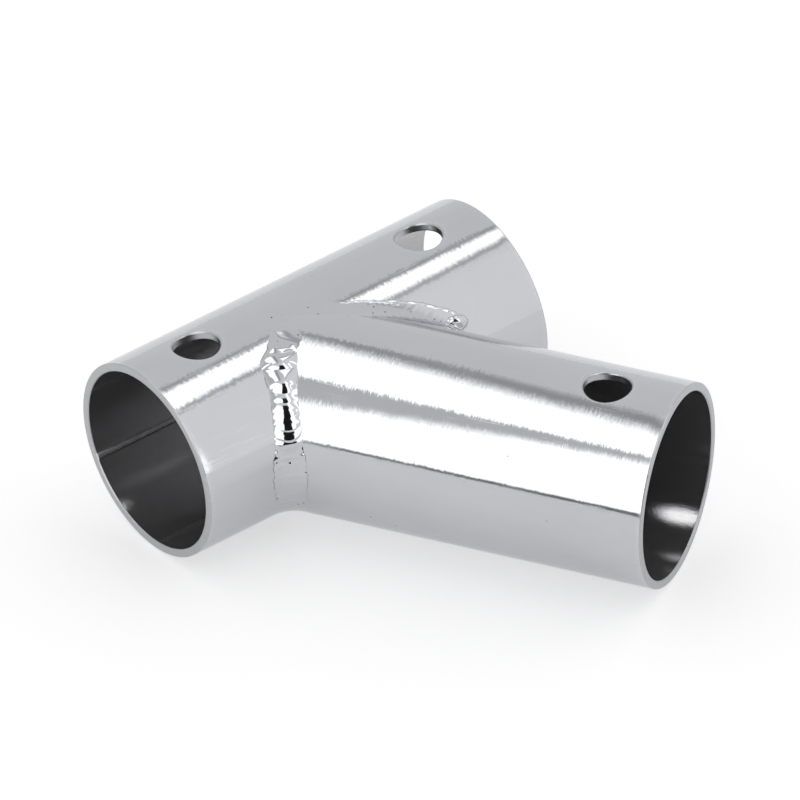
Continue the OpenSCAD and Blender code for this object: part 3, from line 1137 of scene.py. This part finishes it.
def weld_metal(name):
    material, add = new_material(name)
    read = {}
    for mark in ("arc", "across", "toe", "welded", "residue"):
        read[mark] = add("Attribute", attribute_name=mark).outputs["Fac"]
    flat = add("CombineXYZ", X=read["arc"], Y=read["across"])
    place = add("VectorMath", "SCALE", flat, Scale=MM)
    marks = grain(add, place, DRESSING_MARK, detail=3.0)
    object_place = add("TexCoord").outputs["Object"]
    cells = add("Mapping", Vector=object_place, Scale=(1 / (PINHOLE_CELL * MM),) * 3)
    points = add("TexVoronoi", Vector=cells, Scale=1.0)
    holes = add("MapRange", Value=points.outputs["Distance"], From=PINHOLE_RADIUS)
    dressed = add("Math", "SUBTRACT", 1.0, read["welded"])
    pinholes = add("Math", "MULTIPLY", holes, dressed)
    line = add("MapRange", Value=read["toe"], From=TOE_LINE)
    patchy = grain(add, object_place, COMPOUND_GRAIN, start=8.0)
    patches = add("MapRange", Value=patchy, From=COMPOUND_BREAK)
    broken = add("Math", "MULTIPLY", line, patches)
    compound = add("Math", "MULTIPLY", broken, read["residue"])
    metal = add("Mix", data_type="RGBA", _0=marks, _6=linear(WELD_DARK), _7=linear(WELD_LIGHT)).outputs[2]
    # painted shade: the crease of the toe and the pinholes darken the colour
    dark = add("Math", "MAXIMUM", compound, pinholes)
    colour = add("Mix", data_type="RGBA", _0=dark, _6=metal, _7=linear(TOE_HEX)).outputs[2]
    smooth = add("Math", "MULTIPLY_ADD", dressed, DRESSED_ROUGHNESS - WELD_ROUGHNESS, WELD_ROUGHNESS)
    roughness = add("Math", "MULTIPLY_ADD", dark, COMPOUND_ROUGHNESS, smooth)
    belt = add("Math", "MULTIPLY", marks, dressed)
    height = add("Math", "SUBTRACT", belt, pinholes)
    normal = add("Bump", Height=height, Distance=DRESSING_DEPTH * MM, Strength=1.0)
    shader = add("BsdfPrincipled", Base_Color=colour, Metallic=1.0, Roughness=roughness, Normal=normal)
    add("OutputMaterial", Surface=shader)
    return material


weld_finish = weld_metal("bright_stainless_weld_metal")
print("made", weld_finish.name)

# %% [markdown]
# Each tube has three finishes, for its outside, its sawn ends and its bore, in the order in which
# its faces were numbered. The bead has one. The pieces then take the place of the CAD nodes.

# %% Finish the pieces and hand them over
for piece, finishes, node, slot in (
    (run_piece, (run_finish, end_finish, run_bore_finish), "run_tube", "polished_tube"),
    (branch_piece, (branch_finish, end_finish, branch_bore_finish), "branch_tube", "polished_tube"),
    (bead_piece, (weld_finish,), "weld_bead", "weld_metal"),
):
    for finish in finishes:
        piece.data.materials.append(finish)
    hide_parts(node)
    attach(piece, "root")
    print(f"{piece.name} stands for {node}")

# %% [markdown]
# The part lies on a white table. The floor is a matt pale surface with a glow of its own that only
# pictures and reflections see, so it looks white and still takes the part's soft shadow.

# %% Floor
FLOOR_HALF = 3.0
FLOOR_GLOW = 0.52
MIRRORED_GLOW = 0.38
TABLE_WHITE = "#DADADA"

floor_mesh = bpy.data.meshes.new("floor")
floor_z = cad_box[0][2]
signs = ((-1, -1), (1, -1), (1, 1), (-1, 1))
floor_mesh.from_pydata([(x * FLOOR_HALF, y * FLOOR_HALF, floor_z) for x, y in signs], [], [(0, 1, 2, 3)])
floor = place_object("floor", floor_mesh)
floor_paint, add = new_material("white_table")
path = add("LightPath")
mirrored = add("Math", "MAXIMUM", path.outputs["Is Glossy Ray"], path.outputs["Is Transmission Ray"])
in_mirror = add("Math", "MULTIPLY", mirrored, MIRRORED_GLOW)
strength = add("Math", "MULTIPLY_ADD", path.outputs["Is Camera Ray"], FLOOR_GLOW, in_mirror)
glow = add("Emission", Strength=strength)
matt = add("BsdfDiffuse", Color=linear(TABLE_WHITE))
both = add("AddShader", _0=matt, _1=glow)
add("OutputMaterial", Surface=both)
floor_mesh.materials.append(floor_paint)
print(f"floor at z = {floor_z / MM:.2f} mm")

# %% [markdown]
# Polished metal has no look of its own: it shows what stands round it. The photographer's set is a
# light tent: pale walls, a little darker behind the part, and the camera looks in through a dark
# opening. That opening is what draws the black streak down the middle of the weld bead.

# %% World
FRONT_WALL = 1.0
BACK_WALL = 0.8
FRONT_WAY = (0.5, -0.866, 0.0)
OPENING = 0.015
OPENING_RADIUS = (31, 35)
OPENING_WAY = (-0.287, -0.882, 0.375)
WALL_BLEND = (0.1, 0.5)
TENT_WHITE = "#FDFDFF"

world = bpy.data.worlds.new("light_tent")
bpy.context.scene.world = world
world.use_nodes = True
world.node_tree.nodes.clear()
add = partial(add_node, world.node_tree)
ray = add("TexCoord").outputs["Generated"]
frontness = add("VectorMath", "DOT_PRODUCT", ray, FRONT_WAY)
walls = add("MapRange", interpolation_type="SMOOTHSTEP", Value=frontness.outputs["Value"],
            From=WALL_BLEND, To=(BACK_WALL, FRONT_WALL))
nearness = add("VectorMath", "DOT_PRODUCT", ray, OPENING_WAY)
inner, outer = [math.cos(math.radians(angle)) for angle in OPENING_RADIUS]
opening = add("MapRange", interpolation_type="SMOOTHSTEP", Value=nearness.outputs["Value"],
              From=(outer, inner), To=(1.0, OPENING))
level = add("Math", "MULTIPLY", walls, opening)
sky = add("Background", Color=linear(TENT_WHITE), Strength=level)
add("OutputWorld", Surface=sky)
print(f"tent walls {BACK_WALL} to {FRONT_WALL}, opening {OPENING}")

# %% [markdown]
# Softboxes hang over the tent and stand at its sides. Each is a flat card that glows, and an edge
# where its cloth fades out is soft over some centimetres. Darker cards behind them are the edges of
# their frames. Only shiny surfaces see the cards, so the table's white comes from the walls alone.

# %% Light cards
def light_card(name, corners, strength, fades):
    """A glowing flat card. Its nth edge starts at its nth corner, and fades out over fades[n] mm."""
    corners = np.array(corners, dtype=float) * MM
    mesh = bpy.data.meshes.new(name)
    mesh.from_pydata(corners.tolist(), [], [tuple(range(len(corners)))])
    card = place_object(name, mesh)
    material, add = new_material(name)
    place = add("TexCoord").outputs["Object"]
    surface = add("Emission", Strength=strength)
    face_way = np.cross(corners[1] - corners[0], corners[2] - corners[1])
    for start, end, fade in zip(corners, np.roll(corners, -1, axis=0), fades):
        if fade == 0:
            continue
        inward = np.cross(face_way, end - start)
        inward /= np.linalg.norm(inward)
        edge = float(start @ inward)
        depth = add("VectorMath", "DOT_PRODUCT", place, tuple(inward))
        cover = add("MapRange", interpolation_type="SMOOTHSTEP", Value=depth.outputs["Value"],
                    From=(edge, edge + fade * MM))
        clear = add("BsdfTransparent")
        surface = add("MixShader", _0=cover, _1=clear, _2=surface)
    add("OutputMaterial", Surface=surface)
    mesh.materials.append(material)
    card.visible_camera = False
    card.visible_diffuse = False
    print(f"{name}: strength {strength}")


# %% [markdown]
# The two overhead softboxes hang 320 mm up. The left one's right edge runs slantwise over the
# branch, and the right one is only seen as a corner, between a straight back edge and a slanting
# front edge. These edges are where the white bands on the tubes begin and end.

# %% Overhead softboxes
SOFTBOX = 1.9
OVERHEAD, FRAME_HEIGHT = 320, 323


LEFT_EDGE_POINT, LEFT_EDGE_WAY = (-3, 44), (44, 85)


def beside(y, offset):
    """A point of the left softbox's edge line, given by its y and moved to the line's right."""
    (x0, y0), (dx, dy) = LEFT_EDGE_POINT, LEFT_EDGE_WAY
    size = math.hypot(dx, dy)
    return x0 + (y - y0) * dx / dy + offset * dy / size, y - offset * dx / size


for name, height, corners, strength, fades in (
    ("overhead_softbox_left", OVERHEAD,
     [(-173, -70), beside(-70, 26), beside(225, 26), (-173, 225)], SOFTBOX, (20, 50, 40, 16)),
    ("overhead_left_wall", FRAME_HEIGHT,
     [(-520, -120), (-150, -120), (-150, 240), (-520, 240)], 0.68, (30, 0, 0, 0)),
    ("overhead_left_frame", FRAME_HEIGHT,
     [beside(-70, -10), beside(-70, 62), beside(225, 62), beside(225, -10)], 0.42, (0, 28, 30, 0)),
    ("overhead_softbox_right", OVERHEAD,
     [(100, -118), (345, 106), (100, 82)], SOFTBOX, (30, 36, 0)),
    ("overhead_back_frame", FRAME_HEIGHT,
     [(110, 60), (345, 86), (345, 144), (110, 118)], 0.45, (0, 0, 30, 10)),
    ("overhead_front_frame", FRAME_HEIGHT,
     [(100, -150), (360, 90), (360, 130), (100, -110)], 0.55, (14, 0, 0, 0)),
):
    light_card(name, [(x, y, height) for x, y in corners], strength, fades)

# %% [markdown]
# The left softbox stands on the table and leans back. Its foot is the thin dark line low on the
# branch. The right one stands between the camera and the branch's mouth, where only the bead and
# the edges of the holes mirror it. A small card close to the joint whitens the bead's right side.

# %% Standing softboxes
for name, corners, strength, fades in (
    ("left_softbox",
     [(-598, -92, 9), (-103, -163, 9), (-28, -84, 130), (-108, -34, 182), (-491, 21, 182)],
     SOFTBOX, (0, 0, 30, 36, 30)),
    ("left_softbox_foot",
     [(-598, -94, -14), (-103, -165, -14), (-103, -165, 9), (-598, -94, 9)], 0.2, (0, 0, 0, 0)),
    ("right_softbox",
     [(70, -495, 10), (203, -457, 10), (117, -221, 433), (35, -248, 433)], SOFTBOX, (15, 15, 15, 15)),
    ("bounce_card",
     [(36.6, -85.4, 19), (44.2, -79.0, 19), (50.6, -73.6, 42), (60.4, -65.4, 84), (46.3, -77.2, 84)],
     SOFTBOX, (3, 3, 3, 3, 3)),
):
    light_card(name, corners, strength, fades)

# %% [markdown]
# The camera stands far off with a long lens, above the open corner, as the photograph was taken.

# %% Camera
CAMERA_AIM = Vector((12.982, -10.464, -0.738)) * MM
CAMERA_AZIMUTH = math.radians(-36.956)
CAMERA_DROP = math.radians(37.0155)
CAMERA_ROLL = math.radians(-2.0185)
CAMERA_DISTANCE = 1716.03 * MM
SENSOR_WIDTH = 36.0
LENS = 579.67

camera_data = bpy.data.cameras.new("camera")
camera_data.sensor_width = SENSOR_WIDTH
camera_data.lens = LENS
camera = place_object("camera", camera_data)
forward = Vector((
    -math.sin(CAMERA_AZIMUTH) * math.cos(CAMERA_DROP),
    math.cos(CAMERA_AZIMUTH) * math.cos(CAMERA_DROP),
    -math.sin(CAMERA_DROP),
))
level = forward.cross(Vector((0, 0, 1))).normalized()
above = level.cross(forward)
right = level * math.cos(CAMERA_ROLL) + above * math.sin(CAMERA_ROLL)
top = right.cross(forward)
camera.matrix_world = Matrix((
    (right.x, top.x, -forward.x, 0),
    (right.y, top.y, -forward.y, 0),
    (right.z, top.z, -forward.z, 0),
    (0, 0, 0, 1),
))
camera.location = CAMERA_AIM - forward * CAMERA_DISTANCE
bpy.context.scene.camera = camera
bpy.context.scene.view_settings.view_transform = "Standard"
print("camera at", [round(part, 3) for part in camera.location])
